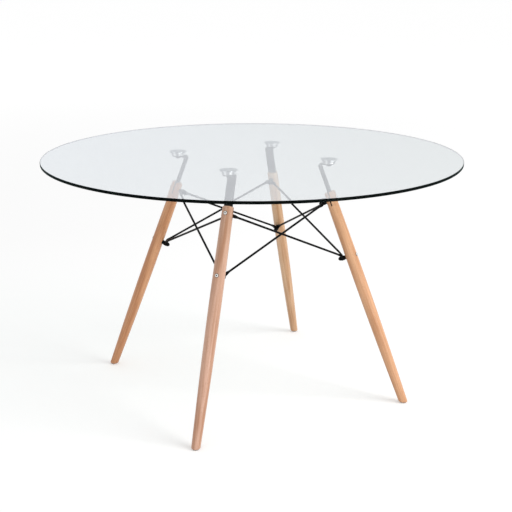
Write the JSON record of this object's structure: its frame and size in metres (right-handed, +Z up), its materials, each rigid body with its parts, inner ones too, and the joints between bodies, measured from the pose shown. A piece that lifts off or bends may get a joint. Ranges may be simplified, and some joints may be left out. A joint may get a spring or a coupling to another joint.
{
  "type": "glass dining table",
  "caption": "Round clear glass dining table on leaning turned wooden legs tied together by crossed black steel rods.",
  "frame": {"origin": "on the floor under the centre of the glass top", "axes": "+Z up; the front is towards -Y and +X is the user's right when facing the front; the legs stand on the diagonals"},
  "size_m": [1.1998, 1.2, 0.71],
  "materials": {
    "clear_glass": "clear float glass, ground and polished edge",
    "polished_pad": "bright turned metal",
    "black_screw": "black oxide",
    "black_strap": "satin black powder coat",
    "beech": "light beech with a satin clear lacquer",
    "black_rod": "semi-gloss black powder coat",
    "nickel_bolt": "nickel plated",
    "grey_plastic": "moulded grey plastic"
  },
  "bodies": {
    "root": {"brace_back_high_left": "black_rod", "brace_back_high_right": "black_rod", "brace_front_high_left": "black_rod", "brace_front_high_right": "black_rod", "brace_left_high_back": "black_rod", "brace_left_high_front": "black_rod", "brace_right_high_back": "black_rod", "brace_right_high_front": "black_rod", "brace_sleeves": "black_rod", "dome_nuts": "black_rod", "glass_top": "clear_glass", "glide_back_left": "grey_plastic", "glide_back_right": "grey_plastic", "glide_front_left": "grey_plastic", "glide_front_right": "grey_plastic", "leg_back_left": "beech", "leg_back_right": "beech", "leg_bolts": "nickel_bolt", "leg_front_left": "beech", "leg_front_right": "beech", "pad_back_left": "polished_pad", "pad_back_right": "polished_pad", "pad_front_left": "polished_pad", "pad_front_right": "polished_pad", "pad_screws": "black_screw", "pad_washers": "black_screw", "strap_back_left": "black_strap", "strap_back_right": "black_strap", "strap_front_left": "black_strap", "strap_front_right": "black_strap"}
  },
  "joints": []
}
